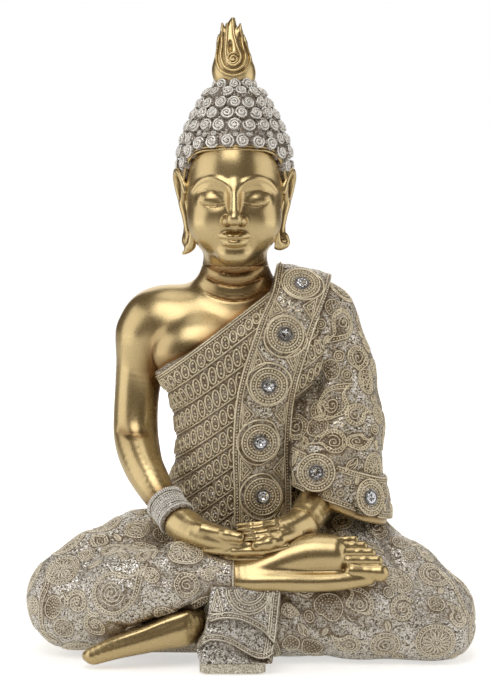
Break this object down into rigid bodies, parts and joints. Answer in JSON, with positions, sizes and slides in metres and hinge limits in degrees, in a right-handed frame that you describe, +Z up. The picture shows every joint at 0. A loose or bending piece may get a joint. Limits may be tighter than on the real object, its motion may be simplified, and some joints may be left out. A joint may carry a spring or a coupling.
{
  "type": "seated meditation statue",
  "caption": "Seated cross-legged meditation figure with a jewelled robe, snail-curl hair, a flame finial and hands resting in the lap, for display on a shelf or table.",
  "frame": {"origin": "middle of the figure's bounding box, on the surface it stands on", "axes": "+Z up, +X towards the figure's own left hand side, and the figure faces -Y"},
  "size_m": [0.3311, 0.177, 0.47],
  "materials": {
    "gold_lacquer": "satin gold lacquer over cast resin, with brown shading rubbed into the recesses",
    "champagne_glitter": "fine champagne glitter over cast resin, with raised relief ornament",
    "silver_glitter": "fine silver glitter over gold paint on cast resin",
    "crystal": "clear faceted flat-backed stone with a mirror foil behind it",
    "plug_rubber": "plain black stopper",
    "pad_felt": "black felt"
  },
  "bodies": {
    "root": {"base_plate": "champagne_glitter", "base_plug": "plug_rubber", "felt_pads": "pad_felt", "left_leg": "champagne_glitter", "right_leg": "champagne_glitter", "left_foot": "gold_lacquer", "right_foot": "gold_lacquer", "front_drape": "champagne_glitter", "torso": "gold_lacquer", "robe_wrap": "champagne_glitter", "shoulder_sash": "champagne_glitter", "left_sleeve": "champagne_glitter", "sleeve_cuff": "champagne_glitter", "right_arm": "gold_lacquer", "bracelet": "silver_glitter", "right_hand": "gold_lacquer", "left_hand": "gold_lacquer", "head": "gold_lacquer", "hair_cap": "silver_glitter", "left_ear": "gold_lacquer", "right_ear": "gold_lacquer", "flame_finial": "gold_lacquer", "sash_stone_1": "crystal", "sash_stone_2": "crystal", "sash_stone_3": "crystal", "sash_stone_4": "crystal", "sash_stone_5": "crystal", "cuff_stone_1": "crystal", "cuff_stone_2": "crystal"}
  },
  "joints": []
}
